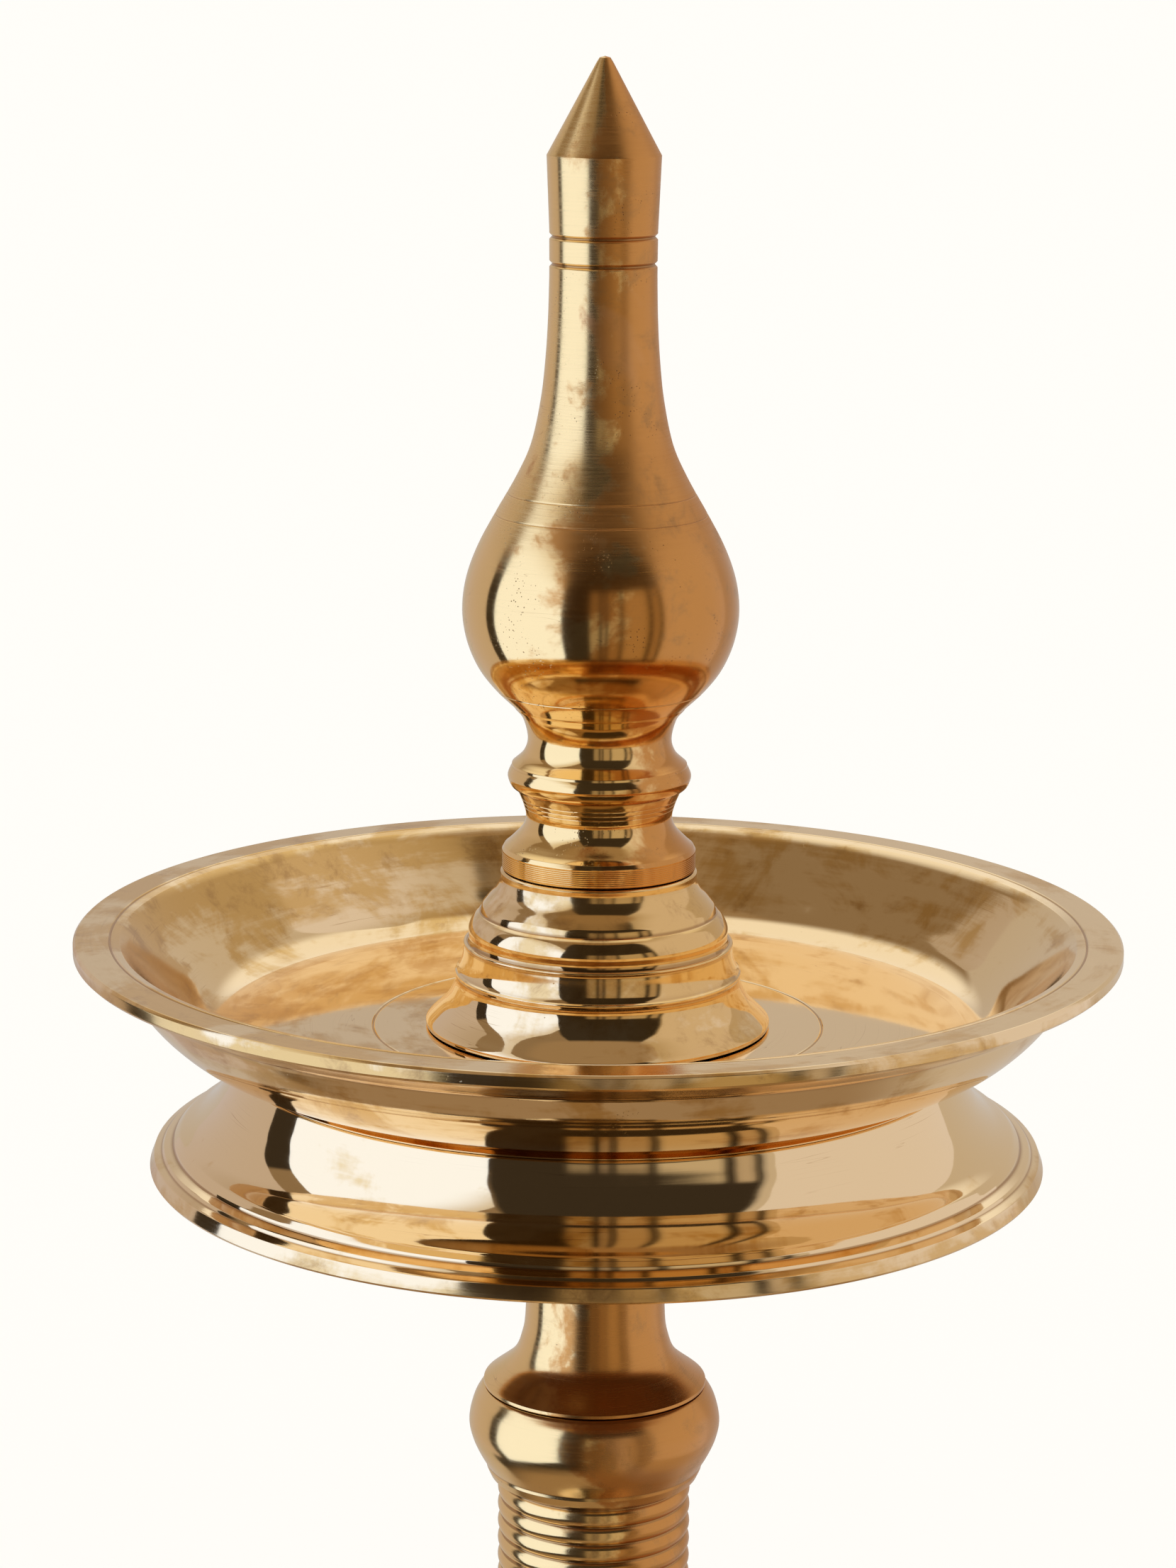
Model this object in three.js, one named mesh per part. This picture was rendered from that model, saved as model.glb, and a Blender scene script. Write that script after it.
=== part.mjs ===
// Brass standing oil lamp (samai): nine turned castings that screw together on threaded studs.
// Millimetres, +Z up. The origin is the centre of the base's flat underside.
import * as THREE from "three";

// ---- driving dimensions -------------------------------------------------------------------

// Heights above the floor of the joints between neighbouring castings.
const LAMP_TOP = 762;
const BASE_TOP = 108;
const LOWER_COLUMN_TOP = 214;
const KNOP_TOP = 269;
const UPPER_COLUMN_TOP = 403;
const NECK_TOP = 492.2;
const SKIRT_TOP = 496.8;
const BOWL_FLOOR = 505;
const BOWL_RIM = 531;
const BOSS_TOP = 548;

// Largest radii of the three wide castings.
const BASE_RADIUS = 130;
const SKIRT_RADIUS = 120.6;
const BOWL_RADIUS = 140;

// Threaded joints: M16 studs in tapped sockets, drawn as plain cylinders with clearance.
const STUD_RADIUS = 8;
const SOCKET_RADIUS = 8.3;
const STUD_CHAMFER = 1.2;
const NUT_ACROSS_FLATS = 24;

// Two castings that meet leave this much between them.
const GAP = 0.3;

// Ribs on the column: half-round rings, one above the other.
const RIB_PEAK = 26.5;
const RIB_VALLEY = 25.3;
const RIB_PITCH = 5.02;
const UPPER_RIBS = 18;
const LOWER_RIBS = 10;

// Number of flat sides round a slender casting, a wide one and a small fastener.
const SLENDER_SIDES = 20;
const WIDE_SIDES = 32;
const SMALL_SIDES = 12;

// ---- materials ----------------------------------------------------------------------------

function metal(color, roughness) {
  return new THREE.MeshStandardMaterial({ color, roughness, metalness: 1 });
}

const satinBrass = metal(0xc9974c, 0.32);
const polishedBrass = metal(0xd9b06a, 0.14);
const columnBrass = metal(0xc08d45, 0.3);
const threadBrass = metal(0xb68a4a, 0.4);
const fastenerSteel = metal(0x9a9a98, 0.45);
const washerFibre = new THREE.MeshStandardMaterial({ color: 0x8a3a26, roughness: 0.85, metalness: 0 });

// ---- outlines -----------------------------------------------------------------------------
// An outline is a list of [radius, height] stations. It runs down the outside of a casting from
// its top, and back up the inside.

// A smooth stretch through the given stations, with the given number of flats between each two.
function curve(flats, stations) {
  const spline = new THREE.SplineCurve(stations.map(([r, h]) => new THREE.Vector2(r, h)));
  return spline.getPoints(flats * (stations.length - 1)).map((p) => [p.x, p.y]);
}

// A fine V groove turned into a wall at a given height.
function groove(radius, height, depth = 0.8) {
  return [
    [radius, height + depth],
    [radius - depth, height],
    [radius, height - depth],
  ];
}

// Half-round ribs downwards from a height, each as one peak between two valleys.
function ribs(top, count) {
  const stations = [];
  for (let i = 0; i < count; i += 1) {
    stations.push([RIB_VALLEY, top - i * RIB_PITCH]);
    stations.push([RIB_PEAK, top - (i + 0.5) * RIB_PITCH]);
  }
  stations.push([RIB_VALLEY, top - count * RIB_PITCH]);
  return stations;
}

// ---- solids -------------------------------------------------------------------------------

// A mesh turned about Z. A closed outline that stays off the axis is a ring, and gets its first
// station again at the end.
function turned(name, stations, foot, sides, material) {
  const onAxis = stations[0][0] === 0;
  const loop = onAxis ? stations : [...stations, stations[0]];
  const upwards = loop.map(([r, h]) => new THREE.Vector2(r, h)).reverse();
  const geometry = new THREE.LatheGeometry(upwards, sides);
  geometry.rotateX(Math.PI / 2);
  const mesh = new THREE.Mesh(geometry, material);
  mesh.name = name;
  mesh.position.z = foot;
  return mesh;
}

// A threaded stud between two heights, chamfered at both ends.
function stud(name, bottom, top) {
  const length = top - bottom;
  const outline = [
    [0, length],
    [STUD_RADIUS - STUD_CHAMFER, length],
    [STUD_RADIUS, length - STUD_CHAMFER],
    [STUD_RADIUS, STUD_CHAMFER],
    [STUD_RADIUS - STUD_CHAMFER, 0],
    [0, 0],
  ];
  return turned(name, outline, bottom, SMALL_SIDES, threadBrass);
}

// A flat ring round a stud.
function washer(name, outerRadius, bottom, thickness, material) {
  const innerRadius = SOCKET_RADIUS + GAP;
  const outline = [
    [outerRadius, thickness],
    [outerRadius, 0],
    [innerRadius, 0],
    [innerRadius, thickness],
  ];
  return turned(name, outline, bottom, SMALL_SIDES, material);
}

// Finial: pointed cap, slender neck, bulb, ring and collar, cast hollow over a tapped foot.
function finial() {
  const height = LAMP_TOP - BOSS_TOP - GAP / 2;
  const outside = [
    [0, height],
    [1.4, height - 0.4],
    [2.2, height - 1.7],
    [14.9, 188.6],
    [14.1, 169.2],
    ...groove(14.1, 167.9),
    ...groove(14.05, 160.8),
    ...curve(1, [
      [14.05, 157.5],
      [14.3, 147],
      [14.9, 136.5],
      [16.1, 125.5],
      [18.6, 113.8],
      [22.5, 105],
      [27.6, 96],
      [32.4, 87],
      [35.5, 78.5],
      [36.56, 70],
      [35.4, 62],
      [32.4, 54.8],
      [28, 49],
      [22.9, 44.1],
    ]),
    ...curve(2, [
      [20.4, 40.8],
      [19.1, 35.5],
      [20.2, 31.6],
      [23.2, 28],
    ]),
    ...curve(2, [
      [23.7, 27.4],
      [24.4, 25.3],
      [23.5, 22.8],
      [21.8, 20.8],
    ]),
    ...curve(2, [
      [20.2, 17.6],
      [19.5, 14.2],
      [20.6, 10.9],
      [24.2, 7.1],
    ]),
    [25.3, 6.2],
    [25.85, 5.2],
    [25.85, 0.3],
    [25.5, 0],
  ];
  const core = [
    [SOCKET_RADIUS, 0],
    [SOCKET_RADIUS, 42],
    [22, 54],
    [30, 66],
    [30, 76],
    [22, 93],
    [10, 112],
    [7.5, 150],
    [0, 156],
  ];
  return turned("finial", [...outside, ...core], BOSS_TOP + GAP / 2, SLENDER_SIDES, satinBrass);
}

// Stepped boss: the moulded cone that stands in the bowl and clamps it. It is hollow round a hub.
function steppedBoss() {
  const height = BOSS_TOP - BOWL_FLOOR - 1.5 * GAP;
  const outside = [
    [25.6, height],
    [26.3, height - 0.5],
    [26.2, height - 1.2],
    ...curve(1, [
      [26.2, height - 2.2],
      [26.6, height - 3.6],
      [27.7, height - 5.7],
      [29.4, height - 7.6],
      [31, height - 9.5],
    ]),
    [31.2, height - 9.9],
    [31.6, height - 11.5],
    ...curve(1, [
      [32.1, height - 11.7],
      [33.1, height - 12.6],
      [34, height - 14],
      [34.6, height - 15.4],
      [34.8, height - 16.6],
      [34.7, height - 17.9],
    ]),
    [35.1, height - 19.6],
    [36.2, height - 19.9],
    [35.9, height - 20.6],
    ...curve(1, [
      [36, height - 21.5],
      [36.5, height - 24.2],
      [37.2, height - 26.4],
      [37.9, height - 27.5],
    ]),
    [38.5, height - 27.8],
    [38.2, height - 28.9],
    ...curve(1, [
      [38.2, height - 30.3],
      [39.9, height - 34.4],
      [41.7, height - 36.9],
      [45.7, height - 40.8],
    ]),
    [46.2, 1.2],
    [46.2, 0.3],
    [45.9, 0],
  ];
  const inside = [
    [42, 0],
    [36, 7],
    [33, 18],
    [28, 28],
    [22, 33],
    [14, 33],
    [14, 1.5],
    [SOCKET_RADIUS, 1.5],
    [SOCKET_RADIUS, height],
  ];
  return turned("stepped_boss", [...outside, ...inside], BOWL_FLOOR + GAP, SLENDER_SIDES, polishedBrass);
}

// Oil bowl: flat moulded rim, sloping wall and level floor, with a foot ring underneath.
function oilBowl() {
  const rim = BOWL_RADIUS;
  const floor = BOWL_FLOOR - BOWL_RIM;
  const bottom = SKIRT_TOP + GAP / 2 - BOWL_RIM;
  const outside = [
    [rim - 0.7, 0],
    [rim, -0.7],
    [rim, -3.2],
    [rim - 0.8, -4],
    [126.9, -9.9],
    ...curve(1, [
      [126.2, -10.8],
      [122.8, -16],
      [118, -21.4],
      [111.8, -26.4],
      [104, -30],
      [94, -31.6],
    ]),
    [95.6, -33.1],
    [97.9, bottom + 0.4],
    [97.6, bottom],
    [87, bottom],
    [86, floor - 5],
    [31, floor - 5],
    [30, bottom],
  ];
  const inside = [
    [SOCKET_RADIUS, bottom],
    [SOCKET_RADIUS, floor],
    [60, floor],
    [60.4, floor - 0.4],
    [60.8, floor],
    ...curve(1, [
      [99, floor],
      [104.4, floor + 1.1],
      [109, floor + 4.2],
      [114.6, -15.4],
      [120.4, -8.6],
      [126, -2],
    ]),
    [127.7, -0.5],
    [129.8, 0],
    [130.3, -0.5],
    [130.8, 0],
  ];
  return turned("oil_bowl", [...outside, ...inside], BOWL_RIM, WIDE_SIDES, polishedBrass);
}

// Skirt: a flared ring with a web across its top, clamped between the bowl and the neck.
function skirt() {
  const top = SKIRT_TOP - GAP / 2 - BOWL_RIM;
  const web = NECK_TOP + GAP / 2 - BOWL_RIM;
  const outside = [
    [97, top],
    ...curve(1, [
      [97.5, top - 0.4],
      [98.9, -38.4],
      [100.9, -43],
      [103.9, -47.9],
      [107.9, -52],
      [112.4, -54.7],
    ]),
    [112.9, -55.2],
    [113.9, -56.1],
    [114.2, -57],
    [116.7, -58],
    [117.3, -58.8],
    [119.4, -59.7],
    [SKIRT_RADIUS, -62.9],
    [120, -63.6],
    [117.6, -63.6],
  ];
  const inside = [
    [112.4, -59.4],
    [106.6, -56.2],
    [101.6, -51.6],
    [98, -46.4],
    [95.6, -41],
    [94.6, web],
    [SOCKET_RADIUS, web],
    [SOCKET_RADIUS, top],
  ];
  return turned("skirt", [...outside, ...inside], BOWL_RIM, WIDE_SIDES, polishedBrass);
}

// Neck: a waisted spool that carries the skirt on its upper flange.
function neck() {
  const height = NECK_TOP - UPPER_COLUMN_TOP - GAP;
  const outside = [
    [32, height],
    [32.6, height - 0.6],
    [32.6, height - 3],
    ...curve(1, [
      [31.6, height - 3.8],
      [25, height - 8],
      [20.8, height - 15],
      [19.2, height - 25],
      [19, height - 42],
      [19, 21.8],
      [20.2, 13],
      [23, 7.2],
      [29.8, 1.6],
    ]),
    [30.4, 1.1],
    [30.5, 0.3],
    [30.2, 0],
  ];
  const inside = [
    [SOCKET_RADIUS, 0],
    [SOCKET_RADIUS, height],
  ];
  return turned("neck", [...outside, ...inside], UPPER_COLUMN_TOP + GAP / 2, SLENDER_SIDES, columnBrass);
}

// Upper column: a swelling bead, then a ribbed shaft and a small foot, cored between its sockets.
function upperColumn() {
  const height = UPPER_COLUMN_TOP - KNOP_TOP - GAP;
  const ribsTop = height - 27.6;
  const ribsBottom = ribsTop - UPPER_RIBS * RIB_PITCH;
  const outside = [
    [30.4, height],
    ...curve(1, [
      [30.9, height - 0.5],
      [33.1, height - 4.4],
      [34.4, height - 10],
      [33.7, height - 14.4],
      [31.9, height - 18.6],
      [29.7, height - 22.4],
    ]),
    [29.6, height - 23.4],
    [28.6, height - 25.6],
    [26.6, height - 26.6],
    ...ribs(ribsTop, UPPER_RIBS),
    [27.8, ribsBottom - 0.8],
    [28.6, ribsBottom - 2.4],
    [27.8, ribsBottom - 4],
    ...curve(1, [
      [25.6, ribsBottom - 5],
      [25.2, ribsBottom - 7.6],
      [27, ribsBottom - 10.6],
      [30.8, 3],
    ]),
    [31.4, 2.4],
    [31.4, 0.4],
    [31, 0],
  ];
  const inside = [
    [SOCKET_RADIUS, 0],
    [SOCKET_RADIUS, 28],
    [15, 36],
    [15, height - 38],
    [SOCKET_RADIUS, height - 30],
    [SOCKET_RADIUS, height],
  ];
  return turned("upper_column", [...outside, ...inside], KNOP_TOP + GAP / 2, SLENDER_SIDES, columnBrass);
}

// Knop: a bulb between two coves, which repeats the finial's bulb lower down.
function knop() {
  const height = KNOP_TOP - LOWER_COLUMN_TOP - GAP;
  const outside = [
    [31, height],
    [31.4, height - 0.4],
    [31.4, height - 2.2],
    ...curve(1, [
      [30.6, height - 3],
      [27, height - 5],
      [25.4, height - 8.4],
      [26.6, height - 10.6],
    ]),
    ...curve(1, [
      [27.4, height - 11],
      [34.6, 38.6],
      [39.6, 32.4],
      [40.8, 25.4],
      [38, 18],
      [31.6, 12.4],
      [28, 10.6],
    ]),
    ...curve(1, [
      [27, 9.8],
      [26.4, 7.4],
      [28.2, 4.8],
      [32.6, 2.9],
    ]),
    [33.4, 2.3],
    [33.4, 0.4],
    [33, 0],
  ];
  const inside = [
    [SOCKET_RADIUS, 0],
    [SOCKET_RADIUS, height],
  ];
  return turned("knop", [...outside, ...inside], LOWER_COLUMN_TOP + GAP / 2, SLENDER_SIDES, columnBrass);
}

// Lower column: a short ribbed shaft that flares into a round foot.
function lowerColumn() {
  const height = LOWER_COLUMN_TOP - BASE_TOP - GAP;
  const ribsTop = height - 11;
  const ribsBottom = ribsTop - LOWER_RIBS * RIB_PITCH;
  const outside = [
    [33, height],
    [33.4, height - 0.4],
    [33.4, height - 2.2],
    ...curve(1, [
      [32.6, height - 3],
      [28.2, height - 5.4],
      [26.4, height - 9.4],
    ]),
    ...ribs(ribsTop, LOWER_RIBS),
    [27.8, ribsBottom - 0.8],
    [28.6, ribsBottom - 2.4],
    [27.8, ribsBottom - 4],
    ...curve(1, [
      [26.4, ribsBottom - 5],
      [26.8, ribsBottom - 14],
      [29.6, 20.6],
      [35, 11.4],
      [44, 4.8],
    ]),
    [45, 4],
    [45.6, 3.2],
    [46, 2.6],
    [46, 0.4],
    [45.6, 0],
  ];
  const inside = [
    [SOCKET_RADIUS, 0],
    [SOCKET_RADIUS, 34],
    [15, 42],
    [15, height - 38],
    [SOCKET_RADIUS, height - 30],
    [SOCKET_RADIUS, height],
  ];
  return turned("lower_column", [...outside, ...inside], BASE_TOP + GAP / 2, SLENDER_SIDES, columnBrass);
}

// Base: a stepped bell on a wide flat foot, hollow round the hub that holds the stud.
function base() {
  const top = BASE_TOP - GAP / 2;
  const rim = BASE_RADIUS;
  const outside = [
    [46, top],
    [46.8, top - 0.8],
    [46.2, top - 3],
    ...curve(1, [
      [46.8, 103.6],
      [49.4, 97.6],
      [53.4, 93.4],
      [59, 90.6],
    ]),
    [60, 89],
    ...curve(1, [
      [60.4, 88.2],
      [63.6, 85.4],
      [65.2, 81],
      [65.2, 77.4],
    ]),
    [66.4, 76.2],
    [66, 75],
    ...curve(1, [
      [66, 74.4],
      [67.8, 62.4],
      [73.4, 49.4],
      [83, 38],
      [95.6, 29.4],
      [109, 24.6],
    ]),
    [109.6, 23.8],
    ...curve(1, [
      [110.4, 23.4],
      [112.4, 22.2],
      [113, 20.4],
    ]),
    ...curve(1, [
      [114, 19.8],
      [122, 17.6],
      [127, 14.8],
      [129.2, 11.4],
    ]),
    [rim, 10.4],
    [rim, 0.8],
    [rim - 0.8, 0],
  ];
  const inside = [
    [120, 0],
    [118.6, 8.6],
    [107.6, 18.6],
    [92, 24.6],
    [78.6, 34],
    [68.6, 46],
    [62.6, 60],
    [60.8, 74],
    [56, 83],
    [44, 94],
    [22, 98],
    [16, 92],
    [16, 88],
    [SOCKET_RADIUS, 88],
    [SOCKET_RADIUS, top],
  ];
  return turned("base", [...outside, ...inside], 0, WIDE_SIDES, polishedBrass);
}

// Hexagonal nut under the base's hub.
function baseNut(bottom, thickness) {
  const corner = NUT_ACROSS_FLATS / Math.sqrt(3);
  const outline = new THREE.Shape();
  for (let i = 0; i < 6; i += 1) {
    const angle = (i * Math.PI) / 3;
    const method = i === 0 ? "moveTo" : "lineTo";
    outline[method](corner * Math.cos(angle), corner * Math.sin(angle));
  }
  outline.closePath();
  const bore = new THREE.Path();
  bore.absarc(0, 0, SOCKET_RADIUS, 0, 2 * Math.PI, true);
  outline.holes.push(bore);
  const settings = { depth: thickness, bevelEnabled: false, curveSegments: SMALL_SIDES };
  const mesh = new THREE.Mesh(new THREE.ExtrudeGeometry(outline, settings), fastenerSteel);
  mesh.name = "base_nut";
  mesh.position.z = bottom;
  return mesh;
}

// ---- the lamp -----------------------------------------------------------------------------

const lamp = new THREE.Group();
lamp.add(
  base(),
  washer("base_washer", 17, 85.6, 2, fastenerSteel),
  baseNut(72.2, 13),
  stud("base_stud", 70, BASE_TOP + 28),
  lowerColumn(),
  stud("lower_column_stud", LOWER_COLUMN_TOP - 28, LOWER_COLUMN_TOP + 24),
  knop(),
  stud("knop_stud", KNOP_TOP - 24, KNOP_TOP + 24),
  upperColumn(),
  stud("upper_column_stud", UPPER_COLUMN_TOP - 28, UPPER_COLUMN_TOP + 24),
  neck(),
  stud("neck_stud", NECK_TOP - 26, BOWL_FLOOR + 19),
  skirt(),
  oilBowl(),
  washer("sealing_washer", 16, BOWL_FLOOR + GAP / 2, 1.3, washerFibre),
  steppedBoss(),
  stud("boss_stud", BOWL_FLOOR + 21, BOSS_TOP + 24),
  finial(),
);

export default lamp;
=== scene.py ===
"""Looks of a brass standing oil lamp (samai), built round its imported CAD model.

Every casting is turned from an outline. Outlines are in millimetres, as (radius, height above the
casting's foot). They run down the outside from the top and back up the inside, and are given in two
parts: the skin that was turned and polished, then the skin left as it was cast.
"""
import math

import bpy
import numpy as np
from mathutils import Matrix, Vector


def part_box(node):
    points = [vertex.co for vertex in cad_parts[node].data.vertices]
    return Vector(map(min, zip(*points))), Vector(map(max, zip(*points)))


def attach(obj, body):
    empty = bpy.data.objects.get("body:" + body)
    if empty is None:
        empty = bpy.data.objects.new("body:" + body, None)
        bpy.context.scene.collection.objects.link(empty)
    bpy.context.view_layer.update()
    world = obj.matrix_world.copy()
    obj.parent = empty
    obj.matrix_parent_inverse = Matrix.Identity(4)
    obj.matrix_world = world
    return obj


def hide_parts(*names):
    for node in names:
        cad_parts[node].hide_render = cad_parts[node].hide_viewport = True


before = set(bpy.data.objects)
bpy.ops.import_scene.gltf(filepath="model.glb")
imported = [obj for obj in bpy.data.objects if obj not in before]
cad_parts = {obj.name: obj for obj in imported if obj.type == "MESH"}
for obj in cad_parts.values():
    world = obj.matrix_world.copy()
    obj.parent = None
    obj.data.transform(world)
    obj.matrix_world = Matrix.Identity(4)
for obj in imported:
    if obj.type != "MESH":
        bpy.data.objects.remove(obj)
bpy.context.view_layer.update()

MM = 0.001

# ---- driving dimensions, in millimetres -----------------------------------------------------

BORE = 8.3
STUD_RADIUS = 8
THREAD_PITCH = 2
THREAD_DEPTH = 1.1
STUD_END_RADIUS = STUD_RADIUS - THREAD_DEPTH - 0.2
NUT_ACROSS_FLATS = 24
NUT_CHAMFER = 0.5
NUT_THREAD_DEPTH = 0.9
NUT_WASHER_RADIUS = 17
SEALING_WASHER_RADIUS = 16

RIB_PEAK = 26.5
RIB_VALLEY = 25.3
RIB_PITCH = 5.02
UPPER_RIBS = 18
LOWER_RIBS = 10

SLENDER_SIDES = 144
WIDE_SIDES = 224
STUD_SIDES = 48
RING_SIDES = 96

# The share of a thread's depth that is flat at its crest and at its root, and its stations per turn.
THREAD_FLAT = 0.15
STEPS_PER_TURN = 8

# An eased edge's radius and flats, the share of a stretch that it may take up, how far past it the
# outline gets one more station, and how many times its reach a stretch needs to have room for that.
EDGE_RADIUS = 0.3
EDGE_FLATS = 4
EDGE_SHARE = 0.42
BESIDE_EDGE = 0.35
EDGE_ROOM = 2.6

# How far round a point its surroundings reach, and how deep a hollow there counts in full.
HOLLOW_REACH = 0.9
FULL_HOLLOW = 0.42 * HOLLOW_REACH


def foot_and_height(node):
    """The height of a CAD node's lowest point above the floor, and its own height."""
    low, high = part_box(node)
    return low.z / MM, (high.z - low.z) / MM


# ---- outlines -------------------------------------------------------------------------------

def curve(stations, flats=6):
    """A smooth stretch through the stations, with the given number of flats between each two."""
    p = np.array([stations[0], *stations, stations[-1]], float)
    out = []
    for i in range(1, len(p) - 2):
        start, end = (p[i + 1] - p[i - 1]) / 2, (p[i + 2] - p[i]) / 2
        for k in range(flats):
            t = k / flats
            out.append(
                (2 * t**3 - 3 * t**2 + 1) * p[i] + (t**3 - 2 * t**2 + t) * start
                + (3 * t**2 - 2 * t**3) * p[i + 1] + (t**3 - t**2) * end
            )
    return [tuple(q) for q in out] + [tuple(p[-1])]


def groove(radius, height, depth=0.8):
    """A V groove turned into an upright wall."""
    return [(radius, height + depth), (radius - depth, height), (radius, height - depth)]


def ribs(top, count, flats=8):
    """Half-round ribs, one under the other, with sharp valleys between them."""
    out = []
    for i in range(count):
        for k in range(flats):
            swell = math.sin(math.pi * k / flats) ** 0.75
            out.append((RIB_VALLEY + (RIB_PEAK - RIB_VALLEY) * swell, top - (i + k / flats) * RIB_PITCH))
    return out + [(RIB_VALLEY, top - count * RIB_PITCH)]


def scored(outline, heights, depth=0.25):
    """The outline with a fine V line cut where it first comes down to each height."""
    out = [np.array(q, float) for q in outline]
    for height in heights:
        i = next(k for k in range(1, len(out)) if out[k - 1][1] >= height > out[k][1])
        along = out[i] - out[i - 1]
        place = out[i - 1] + along * (out[i - 1][1] - height) / (out[i - 1][1] - out[i][1])
        along /= np.linalg.norm(along)
        inward = np.array([along[1], -along[0]])
        near = [k for k in range(i - 3, i + 3) if 0 < k < len(out) - 1]
        close = [k for k in near if np.linalg.norm(out[k] - place) < 1.3 * depth]
        first = min(close, default=i)
        cut = [place - along * depth, place + inward * depth, place + along * depth]
        out[first:first + len(close)] = cut
    return [tuple(q) for q in out]


# Gentler turns than the first aren't eased, and sharper ones than the second count as the second.
LEAST_CORNER = math.radians(16)
SHARPEST_CORNER = 2.4


def turn_angle(a, b, c):
    """The angle by which an outline turns at b."""
    u, v = b - a, c - b
    return abs(math.atan2(u[0] * v[1] - u[1] * v[0], u @ v))


def eased(outline, closed):
    """The outline with its corners rounded, and with a station just beside each rounding."""
    p = [np.array(q, float) for q in outline]
    out = []
    for i, b in enumerate(p):
        if not closed and i in (0, len(p) - 1):
            out.append(b)
            continue
        a, c = p[i - 1], p[(i + 1) % len(p)]
        before, after = np.linalg.norm(b - a), np.linalg.norm(c - b)
        angle = turn_angle(a, b, c)
        if angle < LEAST_CORNER or min(before, after) < 1e-6:
            out.append(b)
            continue
        reach = EDGE_RADIUS * math.tan(min(angle, SHARPEST_CORNER) / 2)
        reach = min(reach, EDGE_SHARE * before, EDGE_SHARE * after)
        u, v = (a - b) / before, (c - b) / after
        room = EDGE_ROOM * reach + 2 * BESIDE_EDGE
        if before > room:
            out.append(b + u * (reach + BESIDE_EDGE))
        for k in range(EDGE_FLATS + 1):
            t = k / EDGE_FLATS
            out.append(b + u * reach * (1 - t) ** 2 + v * reach * t**2)
        if after > room:
            out.append(b + v * (reach + BESIDE_EDGE))
    return out


def divided(points, closed, longest):
    """The points, with more between any two that lie further apart than the longest step."""
    out = []
    last = len(points) if closed else len(points) - 1
    for i in range(last):
        a, b = points[i], points[(i + 1) % len(points)]
        parts = max(1, math.ceil(np.linalg.norm(b - a) / longest))
        out.extend(a + (b - a) * k / parts for k in range(parts))
    if not closed:
        out.append(points[-1])
    return np.array(out)


def hollowness(points, closed):
    """How far each point lies below (+) or above (-) its surroundings, from -1 to 1.

    With it come the points' places along the outline.
    """
    around = np.vstack([points, points[:1]]) if closed else points
    steps = np.linalg.norm(np.diff(around, axis=0), axis=1)
    s = np.concatenate([[0], np.cumsum(steps)])
    at = s[:len(points)]

    def sample(x):
        x = np.mod(x, s[-1]) if closed else np.clip(x, 0, s[-1])
        return np.stack([np.interp(x, s, around[:, 0]), np.interp(x, s, around[:, 1])], axis=1)

    before, after = sample(at - HOLLOW_REACH), sample(at + HOLLOW_REACH)
    along = after - before
    length = np.maximum(np.linalg.norm(along, axis=1), 1e-6)
    outward = np.stack([-along[:, 1], along[:, 0]], axis=1) / length[:, None]
    offset = ((before + after) / 2 - points) * outward
    return np.clip(offset.sum(axis=1) / FULL_HOLLOW, -1, 1), s


# ---- solids ---------------------------------------------------------------------------------

def skin(name, rings, lengths, marks, sides):
    """A closed mesh over rings of points, with its turning map and what materials read from it.

    rings is a list of arrays: `sides` points each, or a single point on the axis. The last ring
    joins the first unless both lie on the axis. lengths are the rings' places along the outline.
    marks names, for each ring, a number or one number for each of its points.
    """
    counts = [len(r) for r in rings]
    starts = np.concatenate([[0], np.cumsum(counts)])
    loop = counts[0] > 1
    pairs = [(i, (i + 1) % len(rings)) for i in range(len(rings) if loop else len(rings) - 1)]
    faces, map_points = [], []
    for n, (i, k) in enumerate(pairs):
        upper, lower = lengths[n], lengths[n + 1]
        for j in range(sides):
            m = (j + 1) % sides
            u, w = j / sides, (j + 1) / sides
            corners = [
                (starts[i] + (j if counts[i] > 1 else 0), u, upper),
                (starts[k] + (j if counts[k] > 1 else 0), u, lower),
                (starts[k] + (m if counts[k] > 1 else 0), w, lower),
                (starts[i] + (m if counts[i] > 1 else 0), w, upper),
            ]
            if counts[i] == 1:
                corners.pop(3)
            if counts[k] == 1:
                corners.pop(2)
            faces.append([c[0] for c in corners])
            map_points.extend((c[1], c[2]) for c in corners)
    mesh = bpy.data.meshes.new(name)
    mesh.from_pydata((np.vstack(rings) * MM).tolist(), [], faces)
    mesh.uv_layers.new(name="turning").data.foreach_set("uv", np.array(map_points).ravel())
    for mark, values in marks.items():
        spread = np.concatenate([np.broadcast_to(v, n) for v, n in zip(values, counts)])
        mesh.attributes.new(mark, "FLOAT", "POINT").data.foreach_set("value", spread.astype(np.float32))
    mesh.shade_smooth()
    piece = bpy.data.objects.new(name, mesh)
    bpy.context.scene.collection.objects.link(piece)
    return piece


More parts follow.
